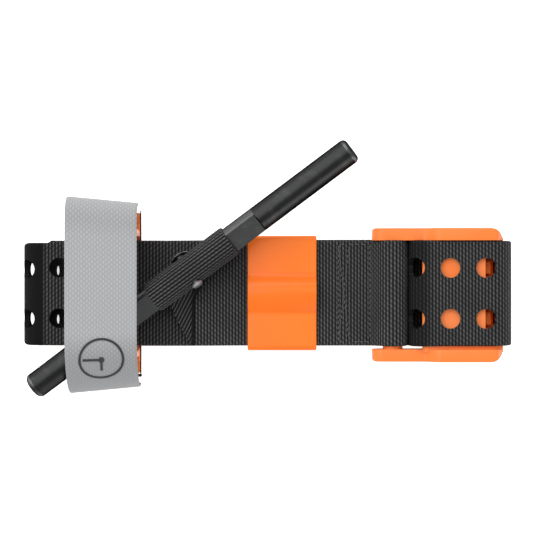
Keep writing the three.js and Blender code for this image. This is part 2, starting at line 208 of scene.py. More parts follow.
def webbing_material(name, pitch, dark, light, swing=0.05, lowest=0.42):
    """Cross ribs in the strip's flat coordinates, painted lighter on their crowns and darker between them as
    painted highlight and shade; the third value fades them and darkens the base as painted shade where the
    strip is bent.
    """
    g = Graph(name)
    u, v, clear = g.flat()
    ridge, floats = weave_tone(g, u, v, pitch, RIB_DASH, swing)
    # The rib tone is painted highlight on the rib crowns and painted shade between them.
    tone = g.math("MULTIPLY", g.math("POWER", ridge, 1.9), g.remap(floats, -0.6, 0.5, lowest, 1.0))
    tone = g.math("MULTIPLY", tone, clear)
    fibres = g.noise(2600.0, 2.0)
    patches = g.noise(90.0, 3.0)
    tone = g.math("MULTIPLY", tone, g.remap(fibres, 0.3, 0.7, 0.6, 1.25))
    tone = g.math("MULTIPLY", tone, g.remap(patches, 0.35, 0.65, 0.85, 1.1))
    # Painted shade: where the third value falls, the base goes nearly black.
    base = g.mix(clear, grey(0.007, 0.01), grey(dark, 0.01))
    colour = g.mix(tone, base, grey(light, 0.01))
    height = g.math("MULTIPLY_ADD", fibres, 0.25, tone)
    return g.finish(Base_Color=colour, Roughness=g.remap(fibres, 0.3, 0.7, 0.7, 0.9),
                    Specular_IOR_Level=g.remap(clear, 0.0, 1.0, 0.06, 0.18),
                    Normal=g.bump(height, 0.08, 0.6))


# Painted shade: the tape is darker towards its tip, where it curves down, and towards its sewn end, where it
# bends up: (from, to, change of tone) along it.
STRAP_PAINTED_SHADE = ((82.0, 92.0, -0.5), (46.0, 34.0, -0.4))


def strap_material(name, base):
    """Light tape: fine ribs along it whose yarn floats alternate, a little soiled."""
    g = Graph(name)
    u, v, _ = g.flat()
    ridge, floats = weave_tone(g, v, u, STRAP_RIB, STRAP_DASH, 0.0)
    dots = g.math("MULTIPLY_ADD", g.math("MULTIPLY", ridge, floats), 0.5, g.math("MULTIPLY", ridge, 0.45))
    threads = g.noise(2200.0, 2.0)
    soil = g.noise(60.0, 4.0)
    tone = g.math("MULTIPLY_ADD", threads, 0.3, g.remap(dots, -0.2, 0.9, 0.0, 0.75))
    # Painted shade towards both ends of the tape.
    for start, end, change in STRAP_PAINTED_SHADE:
        tone = g.math("ADD", tone, g.remap(u, start, end, 0.0, change))
    colour = g.mix(tone, grey(base * 0.78, 0.02), grey(base * 1.18, 0.02))
    colour = g.mix(g.remap(soil, 0.42, 0.7, 0.0, 0.12), colour, (base * 0.8, base * 0.78, base * 0.76, 1))
    height = g.math("MULTIPLY_ADD", threads, 0.3, dots)
    return g.finish(Base_Color=colour, Roughness=0.8, Specular_IOR_Level=0.25,
                    Normal=g.bump(height, 0.05, 0.6))


def hook_material(name):
    """Dark pile with a field of small hooks."""
    g = Graph(name)
    where = g.add("ShaderNodeTexCoord").outputs["Object"]
    cells = g.add("ShaderNodeTexVoronoi", {"Vector": where, "Scale": 900.0}).outputs["Distance"]
    hooks = g.remap(cells, 0.1, 0.5, 1.0, 0.0)
    colour = g.mix(hooks, grey(0.012), grey(0.05))
    return g.finish(Base_Color=colour, Roughness=0.9, Normal=g.bump(hooks, 0.2))


def orange_material(name, base):
    """Moulded nylon: flow marks, a fine matt grain, and along raised edges light scuffs with a painted sheen.
    """
    g = Graph(name)
    flow = g.noise(45.0, 4.0)
    grain = g.noise(3000.0, 2.0)
    pointed = g.add("ShaderNodeNewGeometry").outputs["Pointiness"]
    edge = g.remap(pointed, 0.52, 0.6)
    deep = (base[0] * 0.94, base[1] * 0.8, base[2] * 0.7, 1)
    pale = (min(base[0] * 1.01, 1), base[1] * 1.28, base[2] * 2.2, 1)
    colour = g.mix(g.remap(flow, 0.35, 0.68, 0.0, 0.45), base, deep)
    # Raised edges are painted paler: partly scuffs, partly painted sheen.
    colour = g.mix(g.math("MULTIPLY", edge, 0.5), colour, pale)
    rough = g.math("MULTIPLY_ADD", edge, 0.08, g.remap(grain, 0.3, 0.7, 0.3, 0.44))
    normal = g.bump(g.math("MULTIPLY_ADD", grain, 0.3, flow), 0.03, 0.5)
    return g.finish(Base_Color=colour, Roughness=rough, Specular_IOR_Level=0.3, Normal=normal)


def anodised_material(name):
    """Black anodised aluminium: turning lines, a painted highlight on the round sides between the flats, worn
    rings at the ends.
    """
    g = Graph(name)
    s, _, out = g.flat()
    from_middle = g.math("ABSOLUTE", s)
    beside = g.remap(g.math("ABSOLUTE", out), FLAT_THICKNESS / 2 - 0.02, FLAT_THICKNESS / 2 - 0.12)
    painted_highlight_mask = g.math("MULTIPLY", beside, g.remap(from_middle, FLAT_HALF, FLAT_HALF - 0.3))
    lines = g.noise(9.0, 3.0, g.add("ShaderNodeCombineXYZ", {0: s}).outputs[0])
    grain = g.noise(1800.0, 3.0)
    wear = g.noise(240.0, 5.0)
    to_end = g.math("SUBTRACT", ROD_LENGTH / 2, from_middle)
    ring = g.math("MULTIPLY", g.remap(to_end, 2.1, 1.7), g.remap(to_end, 0.7, 1.2))
    worn = g.math("MULTIPLY", ring, g.remap(wear, 0.35, 0.62))
    colour = g.mix(g.remap(lines, 0.3, 0.7), grey(0.028, 0.01), grey(0.038, 0.01))
    colour = g.mix(g.remap(wear, 0.55, 0.75, 0.0, 0.3), colour, grey(0.075, 0.01))
    # Painted highlight: the round sides beside the flats are lighter.
    colour = g.mix(painted_highlight_mask, colour, grey(0.085, 0.01))
    colour = g.mix(g.math("MULTIPLY", worn, 0.5), colour, grey(0.3, 0.01))
    height = g.math("MULTIPLY_ADD", grain, 0.4, lines)
    return g.finish(Base_Color=colour, Metallic=1.0, Roughness=g.remap(grain, 0.3, 0.7, 0.3, 0.44),
                    Specular_Tint=grey(0.25), Normal=g.bump(height, 0.02, 0.6))


def steel_material(name):
    """Bright plated steel, a little stained."""
    g = Graph(name)
    grain = g.noise(1200.0, 4.0)
    stain = g.noise(180.0, 4.0)
    colour = g.mix(g.remap(stain, 0.35, 0.7), grey(0.36, 0.01), grey(0.2, 0.02))
    return g.finish(Base_Color=colour, Metallic=1.0, Roughness=g.remap(grain, 0.3, 0.7, 0.3, 0.5),
                    Normal=g.bump(grain, 0.01, 0.5))


def board_material(name):
    """Dull black plastic sheet."""
    g = Graph(name)
    grain = g.noise(1500.0, 3.0)
    colour = g.mix(grain, grey(0.012), grey(0.03))
    return g.finish(Base_Color=colour, Roughness=0.6, Normal=g.bump(grain, 0.03, 0.6))


def thread_material(name):
    """Twisted black sewing thread."""
    g = Graph(name)
    twist = g.noise(3800.0, 1.0)
    return g.finish(Base_Color=g.mix(twist, grey(0.03), grey(0.075)), Roughness=0.6, Sheen_Weight=0.3,
                    Normal=g.bump(twist, 0.05))


def ink_material(name):
    """Dark print with slightly uneven cover."""
    g = Graph(name)
    blots = g.noise(1500.0, 3.0)
    return g.finish(Base_Color=g.mix(blots, grey(0.022, 0.05), grey(0.04, 0.05)), Roughness=0.7)


looks = {
    # Dark and light tones: painted shade between the ribs and painted highlight on their crowns; the sleeve's
    # gaps are painted darker still.
    "webbing": webbing_material("belt_webbing", RIB_PITCH, 0.006, 0.105),
    "band": webbing_material("band_webbing", BAND_RIB_PITCH, 0.006, 0.12),
    "sleeve": webbing_material("band_sleeve_webbing", SLEEVE_RIB_PITCH, 0.002, 0.1, 0.03, 0.6),
    "strap": strap_material("strap_weave", 0.36),
    "hook": hook_material("hook_tape"),
    "orange": orange_material("orange_nylon", (0.92, 0.172, 0.011, 1)),
    # A paler copy of the orange, for the frame and the clip: painted light, standing in for the brighter
    # sheen on the frame's rails and lifting the clip's edges beside the strap out of shade.
    "painted_light_orange": orange_material("painted_light_orange_nylon", (0.94, 0.215, 0.04, 1)),
    "rod": anodised_material("black_anodised"),
    "steel": steel_material("zinc_steel"),
    "board": board_material("stiffener_board"),
    "thread": thread_material("black_thread"),
    "ink": ink_material("dial_ink"),
}


# ---- mesh helpers ----
def new_object(name, points, faces):
    """A mesh object from points in millimetres."""
    mesh = bpy.data.meshes.new(name)
    mesh.from_pydata((np.asarray(points) * MM).tolist(), [], faces)
    made = bpy.data.objects.new(name, mesh)
    bpy.context.collection.objects.link(made)
    return made


def face_out(made):
    """Turns all the faces of a closed mesh outwards."""
    bm = bmesh.new()
    bm.from_mesh(made.data)
    bmesh.ops.recalc_face_normals(bm, faces=bm.faces)
    bm.to_mesh(made.data)
    bm.free()


def solid(name, points, faces):
    """A closed mesh object whose faces all look outwards."""
    made = new_object(name, points, faces)
    face_out(made)
    return made


def tube_faces(rings, sides, first=0):
    """Faces of a tube through rings of points that follow each other, closed at both ends."""
    last = first + (rings - 1) * sides
    faces = [(a + i, a + (i + 1) % sides, a + sides + (i + 1) % sides, a + sides + i)
             for a in range(first, last, sides) for i in range(sides)]
    return faces + [tuple(range(first, first + sides)), tuple(range(last + sides - 1, last - 1, -1))]


def applied(made):
    """The object with its modifiers applied to its mesh."""
    bpy.context.view_layer.update()
    graph = bpy.context.evaluated_depsgraph_get()
    mesh = bpy.data.meshes.new_from_object(made.evaluated_get(graph), depsgraph=graph)
    made.modifiers.clear()
    made.data = mesh
    return made


def combine(made, other, operation):
    """Joins or cuts made by other, which is used up."""
    change = made.modifiers.new("combine", "BOOLEAN")
    change.operation = operation
    change.object = other
    change.solver = "MANIFOLD"
    applied(made)
    bpy.data.objects.remove(other)
    return made


def rounded(made, width, segments=3, angle=35):
    """Rounds the object's sharp edges."""
    bevel = made.modifiers.new("round", "BEVEL")
    bevel.width = width * MM
    bevel.segments = segments
    bevel.limit_method = "ANGLE"
    bevel.angle_limit = math.radians(angle)
    bevel.use_clamp_overlap = True
    return applied(made)


def prism(name, outline, low, high, along):
    """An outline in two axes, extruded along the third between two of its values."""
    outline = np.asarray(outline, float)
    count = len(outline)
    points = np.zeros((2 * count, 3))
    others = [axis for axis in range(3) if axis != along]
    points[:, others] = np.tile(outline, (2, 1))
    points[:count, along] = low
    points[count:, along] = high
    return solid(name, points, tube_faces(2, count))


def lathe(profile, sides):
    """Points and faces of a solid turned about Z, from (radius, z) places that start and end on the axis."""
    angles = np.arange(sides) * math.tau / sides
    points = [(0, 0, profile[0][1])]
    points += [(r * math.cos(a), r * math.sin(a), z) for r, z in profile[1:-1] for a in angles]
    points.append((0, 0, profile[-1][1]))
    last = len(points) - 1
    faces = tube_faces(len(profile) - 2, sides, 1)[:-2]
    for i in range(sides):
        j = (i + 1) % sides
        faces += [(0, 1 + j, 1 + i), (last, last - sides + i, last - sides + j)]
    return np.array(points), faces


def arc(centre, radius, start, end, steps, radius2=None):
    """Points on an arc, angles in degrees; a second radius makes it part of an ellipse."""
    a = np.radians(np.linspace(start, end, steps + 1))
    second = radius if radius2 is None else radius2
    return np.stack([centre[0] + radius * np.cos(a), centre[1] + second * np.sin(a)], axis=1)


def circle(radius, sides, centre=(0, 0)):
    """Points all the way round a circle."""
    return arc(centre, radius, 0, 360 - 360 / sides, sides - 1)


def smoothstep(value, low, high):
    """0 on low's side and 1 on high's side, with a smooth change between them."""
    t = np.clip((value - low) / (high - low), 0, 1)
    return t * t * (3 - 2 * t)


def climb(a, b, steps):
    """Points on a smooth climb between two places."""
    t = np.linspace(0, 1, steps + 1)
    return np.stack([a[0] + (b[0] - a[0]) * t, a[1] + (b[1] - a[1]) * smoothstep(t, 0, 1)], axis=1)


class Route:
    """A line in a plane, sampled every tenth of a millimetre, that a flat strip is bent onto."""

    STEP = 0.1

    def __init__(self, pieces, soften=0.0):
        line = self.resample(np.concatenate([np.atleast_2d(p) for p in pieces]))
        if soften:
            reach = int(3 * soften / self.STEP)
            kernel = np.exp(-0.5 * (np.arange(-reach, reach + 1) * self.STEP / soften) ** 2)
            kernel /= kernel.sum()
            ahead = 2 * line[0] - line[reach:0:-1]
            behind = 2 * line[-1] - line[-2:-reach - 2:-1]
            padded = np.concatenate([ahead, line, behind])
            line = np.stack([np.convolve(padded[:, k], kernel, "valid") for k in range(2)], axis=1)
            line = self.resample(line)
        self.line = line
        self.length = (len(line) - 1) * self.STEP
        slope = np.gradient(line, axis=0)
        slope /= np.linalg.norm(slope, axis=1)[:, None]
        self.normal = np.stack([slope[:, 1], -slope[:, 0]], axis=1)

    def resample(self, line):
        along = np.concatenate([[0], np.cumsum(np.linalg.norm(np.diff(line, axis=0), axis=1))])
        at = np.arange(0, along[-1], self.STEP)
        return np.stack([np.interp(at, along, line[:, k]) for k in range(2)], axis=1)

    def bend(self, u, w):
        """The two coordinates in the route's plane of places u along a flat strip and w through it."""
        at = u / self.STEP
        index = np.arange(len(self.line))
        place = np.stack([np.interp(at, index, self.line[:, k]) for k in range(2)], axis=1)
        out = np.stack([np.interp(at, index, self.normal[:, k]) for k in range(2)], axis=1)
        beyond = np.clip(at - index[-1], 0, None) * self.STEP
        ahead = self.line[-1] - self.line[-2]
        place += beyond[:, None] * ahead / np.linalg.norm(ahead)
        return (place + out * w[:, None]).T

    def nearest(self, point, low=0.0, high=None):
        """The distance along the line of its point nearest to a place, between two distances."""
        high = self.length if high is None else high
        first, last = int(low / self.STEP), int(high / self.STEP)
        gap = np.linalg.norm(self.line[first:last] - np.asarray(point), axis=1)
        return (first + int(gap.argmin())) * self.STEP


def rows_between(spans):
    """Distances along a strip from (start, end, step) spans that follow each other."""
    rows = [np.arange(a, b - step / 2, step) for a, b, step in spans]
    return np.unique(np.round(np.concatenate(rows + [[spans[-1][1]]]), 4))


def strip_section(width, thickness, step):
    """A closed loop of (v, w) points: two flat faces joined by round selvedges."""
    half, h = width / 2, thickness / 2
    count = int(round((width - thickness) / step)) + 1
    v = np.linspace(-half + h, half - h, count)
    top = np.stack([v, np.full(count, h)], axis=1)
    right = arc((half - h, 0), h, 60, -60, 4)
    return np.concatenate([top, right, -top, -right])


def sweep(name, rows, section):
    """The section carried along the rows in flat coordinates, closed at both ends."""
    points = np.zeros((len(rows), len(section), 3))
    points[:, :, 0] = rows[:, None]
    points[:, :, 1:] = section
    return solid(name, points.reshape(-1, 3), tube_faces(len(rows), len(section)))


def points_of(made):
    """The mesh's points in millimetres."""
    flat = np.zeros(len(made.data.vertices) * 3)
    made.data.vertices.foreach_get("co", flat)
    return flat.reshape(-1, 3) / MM


def move_points(made, points, weave=None):
    """Puts the mesh's points in their final place; weave keeps the flat coordinates for the material, and on
    the webbing its third value is a painted shade factor.
    """
    made.data.vertices.foreach_set("co", (points * MM).astype(np.float32).ravel())
    if weave is not None:
        kept_flat = made.data.attributes.new("weave", "FLOAT_VECTOR", "POINT")
        kept_flat.data.foreach_set("vector", weave.astype(np.float32).ravel())
    face_out(made)
    made.data.update()


def rib_height(across, along, pitch, dash=RIB_DASH, swing=0.05):
    """The woven surface: ribs whose yarn floats alternate, from 0 to 1."""
    rib = across / pitch
    index = np.round(rib)
    phase = along / dash + (index % 2) * 0.5
    offset = rib - index + swing * np.sin(math.tau * phase)
    floats = 0.75 + 0.25 * np.cos(math.tau * phase)
    return (0.5 + 0.5 * np.cos(math.tau * offset)) * floats


def rib_lift(u, v, w, pitch):
    """How far the faces of a belt-wide strip stand out along its cross ribs, less towards its edges."""
    face = smoothstep(np.abs(w), 0.4 * WEB, 0.499 * WEB)
    edge = smoothstep(BELT_WIDTH / 2 - np.abs(v), 0.0, SELVEDGE)
    return np.sign(w) * (rib_height(u, v, pitch) - 0.5) * RIB_DEPTH * face * (0.3 + 0.7 * edge)


def settle(made, body, look, replaced=(), sharp=40):
    """Gives a piece its body, material and the CAD nodes that it stands for."""
    made.data.materials.clear()
    made.data.materials.append(looks[look])
    made.data.polygons.foreach_set("use_smooth", [True] * len(made.data.polygons))
    made.data.set_sharp_from_angle(angle=math.radians(sharp))
    if body:
        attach(made, body)
    if replaced:
        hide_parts(*replaced)


# ---- belt ----
FOLD_START = BELT_END_X - LEFT_FOLD_X  # distance along the belt to its left fold
NARROW_HOLE = FOLD_START + 22.75  # behind that fold: mostly shut by the layer it lies on


def belt_route():
    """The belt's line: left to its fold, back below, up beside the bar, over the deck and into the tail."""
    fold = (TOP_Z - layer(0)) / 2
    under_bar = BAR_Z - RETURN_Z
    turn = 5.0
    pieces = [
        (BELT_END_X, TOP_Z),
        arc((LEFT_FOLD_X, layer(0) + fold), fold, 90, 270, 40),
        climb((RISE_X[0], layer(0)), (RISE_X[1], RETURN_Z), 24),
        arc((BAR_X, BAR_Z), under_bar, -90, 0, 24),
        arc((BAR_X + under_bar + turn, OVER_Z - turn), turn, 180, 90, 20),
        arc((RIGHT_FOLD_X, (OVER_Z + layer(3)) / 2), (OVER_Z - layer(3)) / 2, 90, -90, 40),
        arc((TAIL_X[0], layer(2.5)), PITCH / 2, 90, 270, 16),
        arc((TAIL_X[1], layer(1.5)), PITCH / 2, 90, -90, 16),
        arc((TAIL_X[0], layer(0.5)), PITCH / 2, 90, 270, 16),
    ]
    line = np.concatenate([np.atleast_2d(p) for p in pieces])
    used = np.linalg.norm(np.diff(line, axis=0), axis=1).sum()
    return Route(pieces + [(TAIL_X[0] + BELT_LENGTH - used, layer(0))])


def belt_marks(route):
    """Distances along the belt to its left fold's tip, the bar, the deck's hole and the right fold."""
    fold = route.nearest((LEFT_FOLD_X - 6, layer(3)), 0, 200)
    rise = route.nearest((BAR_X + 6, BAR_Z), 150, 400)
    deck = route.nearest((HOLE_X, OVER_Z), rise, 500)
    over = route.nearest((RIGHT_FOLD_X + 7, layer(7)), deck, 500)
    return fold, rise, deck, over


def belt_rows(route, fold, rise, over):
    """Distances along the belt of its cross sections, close where its ribs show and where it turns."""
    fine = RIB_PITCH / 6
    last = over + 13
    spans = [(0.0, 36.0, 1.5), (36.0, fold + 12, fine), (fold + 12, rise - 12, 2.0), (rise - 12, last, fine)]
    hairpins = [route.nearest((TAIL_X[k % 2], layer(2.5 - k)), over + 20) for k in range(3)]
    for pin in sorted(hairpins):
        spans += [(last, pin - 2.5, 3.0), (pin - 2.5, pin + 2.5, 0.3)]
        last = pin + 2.5
    return rows_between(spans + [(last, route.length, 3.0)])


def hole_places(route, deck):
    """Distances along the belt of its holes: set by the left fold, and by the deck's hole."""
    folded = FOLD_START + np.array([-20.6, -7.3, 5.0, 14.6])
    regular = np.arange(deck % HOLE_PITCH + 13 * HOLE_PITCH, route.length - 8, HOLE_PITCH)
    plain = (regular > deck + 1) & (regular < deck + 2 * HOLE_PITCH + 1)  # none where it turns down and under
    return np.concatenate([folded, [NARROW_HOLE], regular[~plain]])


def hole_cutter(places, row):
    """One round post for each hole of a row."""
    sides = 32
    points, faces = [], []
    for u in places:
        ring = circle(HOLE_RADIUS, sides)
        if u == NARROW_HOLE:
            ring = ring * (0.27, 0.56) - (0, 0.5)
        faces += tube_faces(2, sides, len(points))
        for w in (-WEB, WEB):
            points += [(u + x, row + y, w) for x, y in ring]
    return solid("holes", points, faces)


def make_belt():
    """The whole belt in one piece, with its holes, its ribs and its folds."""
    route = belt_route()
    fold, rise, deck, over = belt_marks(route)
    places = hole_places(route, deck)
    section = strip_section(BELT_WIDTH, WEB, SECTION_STEP)
    belt = sweep("main_belt_webbing", belt_rows(route, fold, rise, over), section)
    for row in (-HOLE_ROW, HOLE_ROW):
        combine(belt, hole_cutter(places, row), "DIFFERENCE")

    flat = points_of(belt)
    u, v, w = flat.T
    before_run = 1 - smoothstep(u, fold + 14, fold + 30)
    bent = smoothstep(u, FOLD_START - 3.0, FOLD_START - 0.5) * before_run
    tucked = smoothstep(u, FOLD_START - 4.6, FOLD_START - 3.0) * before_run
    from_hole = np.hypot(np.abs(u[:, None] - places).min(axis=1), np.abs(v) - HOLE_ROW)
    rim = smoothstep(from_hole, HOLE_RADIUS + 0.05, HOLE_RADIUS + 0.9)
    lift = rib_lift(u, v, w, RIB_PITCH) * rim * (1 - 0.85 * bent)
    lift *= 1 - 0.6 * smoothstep(np.abs(u - over), 8.0, 3.0)
    x, z = route.bend(u, w * (1 + 0.05 * (1 - rim)) + lift)

    tip = np.exp(-((u - fold) / 2.2) ** 2)
    over_deck = smoothstep(u, rise + 6, rise + 16) * (1 - smoothstep(u, over, over + 8))
    narrow = 1 - 0.022 * tucked - 0.03 * tip - 0.01 * over_deck
    sway = 0.45 * np.sin(u / 41.0) * smoothstep(u, over + 12, over + 40) - 0.4 * tucked
    rising = smoothstep(u, rise - 6, rise) * (1 - smoothstep(u, rise + 7.5, rise + 12.5))
    # Third flat value, read by the material: painted shade round the left fold and on the stretch that rises
    # beside the bar.
    flat[:, 2] = 1 - np.maximum(bent, 0.8 * rising)
    move_points(belt, np.stack([x, v * narrow + sway, z], axis=1), flat)
    settle(belt, "belt", "webbing", ["main_belt"])


# ---- tension band ----
SEAM_X = (29.9, 37.4)
SEAM_Y = 17.6
SEAM_WIDTH = 0.55
SEAM_DEPTH = 0.32
STITCH_PITCH = 2.0
STITCH_LENGTH = 1.45
STITCH_RADIUS = 0.2


def seam_lines():
    """The box stitch by the buckle: each line's two ends on the band's top, as (x, y)."""
    x0, x1 = SEAM_X
    corners = [(x0, -SEAM_Y), (x0, SEAM_Y), (x1, SEAM_Y), (x1, -SEAM_Y)]
    sides = [(corners[k], corners[(k + 1) % 4]) for k in range(4)]
    far = BELT_END_X - 10
    return sides + [((far, -SEAM_Y), (x0, -SEAM_Y)), ((far, SEAM_Y), (x0, SEAM_Y)),
                    ((far, -SEAM_Y), (far, SEAM_Y)), ((far, -SEAM_Y), (x0, SEAM_Y)),
                    ((far, SEAM_Y), (x0, -SEAM_Y))]


def seam_dip(x, y):
    """How far each point of the band's top sinks along the seams, from 0 to 1."""
    dip = np.zeros(len(x))
    for (xa, ya), (xb, yb) in seam_lines():
        length = math.hypot(xb - xa, yb - ya)
        t = np.clip(((x - xa) * (xb - xa) + (y - ya) * (yb - ya)) / length**2, 0, 1)
        away = np.hypot(x - xa - t * (xb - xa), y - ya - t * (yb - ya))
        dip = np.maximum(dip, np.exp(-(away / SEAM_WIDTH) ** 2))
    return dip


def band_start(v):
    """How far right of its left end the band leaves the belt, for each place across it."""
    return 12.5 * smoothstep(v, -4.0, BELT_WIDTH / 2)


def make_band():
    """The band's flat part: on the belt, round the buckle's bar and back below the belt's end."""
    round_bar = BAR_RADIUS + GAP + WEB / 2
    pieces = [
        (BAND_END_X, BAND_Z),
        (BAR_X - 7.1, BAND_Z),
        arc((BAR_X, BAR_Z), round_bar, 140, -90, 40),
        (BELT_END_X - 11, INNER_Z),
    ]
    route = Route(pieces, soften=0.7)
    turn = route.nearest((BAR_X, BAR_Z - round_bar))
    rows = rows_between([(0.0, turn + 2, BAND_RIB_PITCH / 6), (turn + 2, route.length - 0.2, 1.0)])
    band = sweep("band_flat", rows, strip_section(BELT_WIDTH, WEB, SECTION_STEP))
    flat = points_of(band)
    flat[:, 0] += band_start(flat[:, 1]) * np.clip(1 - flat[:, 0] / 40, 0, 1)
    u, v, w = flat.T
    x, z = route.bend(u, w + rib_lift(u, v, w, BAND_RIB_PITCH))
    on_top = smoothstep(-w, 0.0, 0.5 * WEB) * (1 - smoothstep(u, turn - 24, turn - 20))
    z -= SEAM_DEPTH * on_top * seam_dip(x, v)
    # Painted shade where the band leaves the belt: the third flat value falls to 0 at its left end.
    flat[:, 2] = smoothstep(u - band_start(v), -0.2, 1.4)
    move_points(band, np.stack([x, v, z], axis=1), flat)
    settle(band, "belt", "band", ["tension_band"])


def stitch(middle, ahead, rings, sides):
    """Points of one raised stitch: a small capsule whose ends dip into the band."""
    side = np.array([-ahead[1], ahead[0]])
    points = []
    for t in np.linspace(-1, 1, rings):
        radius = STITCH_RADIUS * math.sqrt(max(1 - abs(t) ** 3, 0.08))
        height = BAND_Z + WEB / 2 + 0.02 - 0.3 * t**4
        spot = middle + ahead * t * STITCH_LENGTH / 2
        for a in np.arange(sides) * math.tau / sides:
            x, y = spot + side * radius * math.cos(a)
            points.append((x, y, height + radius * math.sin(a)))
    return points


def make_stitches():
    """Short raised stitches along the seams."""
    rings, sides = 5, 6
    points, faces = [], []
    for start, end in np.array(seam_lines()):
        span = np.linalg.norm(end - start)
        ahead = (end - start) / span
        for k in range(int(span / STITCH_PITCH)):
            faces += tube_faces(rings, sides, len(points))
            points += stitch(start + ahead * (k + 0.5) * STITCH_PITCH, ahead, rings, sides)
    made = solid("band_stitching", points, faces)
    settle(made, "belt", "thread", sharp=80)


# ---- windlass ----
ROD_CENTRE = np.array(joint("windlass_turn")["pos_m"]) / MM
ALONG = np.array([math.cos(ROD_TURN) * math.cos(ROD_TILT), math.sin(ROD_TURN) * math.cos(ROD_TILT),
                  math.sin(ROD_TILT)])
SIDE = np.array([math.sin(ROD_TURN), -math.cos(ROD_TURN), 0.0])  # towards the belt's near edge
UPWARD = np.cross(SIDE, -ALONG)
UPWARD *= math.copysign(1, UPWARD[2])


def on_rod(s, side, up):
    """A place by its distance along the rod, sideways from its axis and up from it."""
    s, side, up = np.broadcast_arrays(s, side, up)
    return ROD_CENTRE + s[..., None] * ALONG + side[..., None] * SIDE + up[..., None] * UPWARD


def make_rod():
    """The rod, turned from its profile, with two flats milled on its middle."""
    half = ROD_LENGTH / 2
    shoulder = 0.35
    sides = 128
    end = arc((half - ROD_EDGE, ROD_RADIUS - ROD_EDGE), ROD_EDGE, 0, 90, 8).tolist()
    handle = np.arange(half - ROD_EDGE - 2, FLAT_HALF + 0.5, -2.0)
    step = [FLAT_HALF + 0.25, FLAT_HALF, FLAT_HALF - shoulder]
    places = np.concatenate([handle, step, np.arange(FLAT_HALF - 2, 0.5, -2.0)])
    right = end + [[s, ROD_RADIUS] for s in places]
    profile = np.array(right + [[0, ROD_RADIUS]] + [[-s, r] for s, r in reversed(right)])
    s, r = profile[:, :1], profile[:, 1:]
    a = math.tau * (np.arange(sides) + 0.5) / sides
    round_part = smoothstep(np.abs(s), FLAT_HALF - shoulder * 0.6, FLAT_HALF + 0.25)
    depth = FLAT_THICKNESS / 2 + (ROD_RADIUS - FLAT_THICKNESS / 2) * round_part
    across = r * np.cos(a)
    out = np.clip(r * np.sin(a), -depth, depth)
    side = across * math.cos(FLAT_ROLL) + out * math.sin(FLAT_ROLL)
    up = out * math.cos(FLAT_ROLL) - across * math.sin(FLAT_ROLL)
    points = on_rod(s, side, up).reshape(-1, 3)
    weave = np.stack(np.broadcast_arrays(s, across, out), axis=-1).reshape(-1, 3)
    rod = new_object("windlass", points, tube_faces(len(profile), sides))
    move_points(rod, points, weave)
    settle(rod, "windlass", "rod", ["windlass_rod"], sharp=24)


def hermite(a, b, ta, tb, steps):
    """A curve from a to b that leaves along ta and arrives along tb."""
    t = np.linspace(0, 1, steps)[:, None]
    return ((2 * t**3 - 3 * t**2 + 1) * a + (t**3 - 2 * t**2 + t) * ta
            + (-2 * t**3 + 3 * t**2) * b + (t**3 - t**2) * tb)


LOOP_CENTRE = 0.2  # the loop's middle, along the rod
WRAP = (-28, 208)  # where the band meets the rod and leaves it, in degrees up from the near side
LEG_STEPS = 25
WRAP_STEPS = 92
LEG_RIBS = math.radians(64)  # lean of the ribs on the twisted stretch


def band_line(sigma):
    """One yarn of the twisted stretch, sigma from -1 to 1 across it: off the belt, over the rod and under."""
    radius = ROD_RADIUS + LOOP_THICKNESS / 2 + 0.1
    s = LOOP_CENTRE + LOOP_HALF * sigma
    first, last = np.radians(WRAP)
    gathered = 3.6 * smoothstep(-sigma, 0.2, 1.0)
    across = BELT_WIDTH / 2 * sigma
    start = np.array([BAND_END_X + band_start(across) + 0.3, across, BAND_Z + (WEB - LOOP_THICKNESS) / 2])
    onto = on_rod(s + gathered, radius * math.cos(first), radius * math.sin(first))
    rising = -SIDE * math.sin(first) + UPWARD * math.cos(first)
    ease = 5.0 + 3.0 * (1 - sigma) / 2
    leg = hermite(start, onto, np.array([-ease, 0, 0]), rising * 7.0, LEG_STEPS + 1)
    angles = np.linspace(first, last, WRAP_STEPS)
    narrowing = gathered * (1 - smoothstep(np.degrees(angles), WRAP[0], 12))
    over = on_rod(s + narrowing, radius * np.cos(angles), radius * np.sin(angles))
    end = on_rod(s, 0.5, 0.0)
    end[2] = BAND_Z + WEB / 2 + LOOP_THICKNESS / 2 + 0.05
    falling = -SIDE * math.sin(last) + UPWARD * math.cos(last)
    under = hermite(over[-1], end, falling * 5.0, SIDE * 6.0, 16)
    return np.concatenate([leg[:-1], over, under[1:]])


def loop_sheet(sigmas):
    """The loop's middle surface and normals, by yarn and by step along it, and which steps are on the rod."""
    lines = np.array([band_line(sigma) for sigma in sigmas])
    yarn = lines[len(sigmas) // 4]
    along = np.concatenate([[0], np.cumsum(np.linalg.norm(np.diff(yarn, axis=0), axis=1))])
    steps = np.arange(0, along[-1], BAND_RIB_PITCH / 7)
    grid = np.array([[np.interp(steps, along, line[:, k]) for k in range(3)] for line in lines])
    grid = grid.transpose(0, 2, 1)
    normal = np.cross(np.gradient(grid, axis=1), np.gradient(grid, axis=0))
    normal /= np.maximum(np.linalg.norm(normal, axis=2), 1e-9)[:, :, None]
    top = int(np.argmin(np.abs(steps - along[LEG_STEPS + WRAP_STEPS // 2])))
    if (normal[:, top] * UPWARD).sum() < 0:
        normal = -normal
    return grid, normal, np.where(steps > along[LEG_STEPS - 1], 1.0, 0.0)


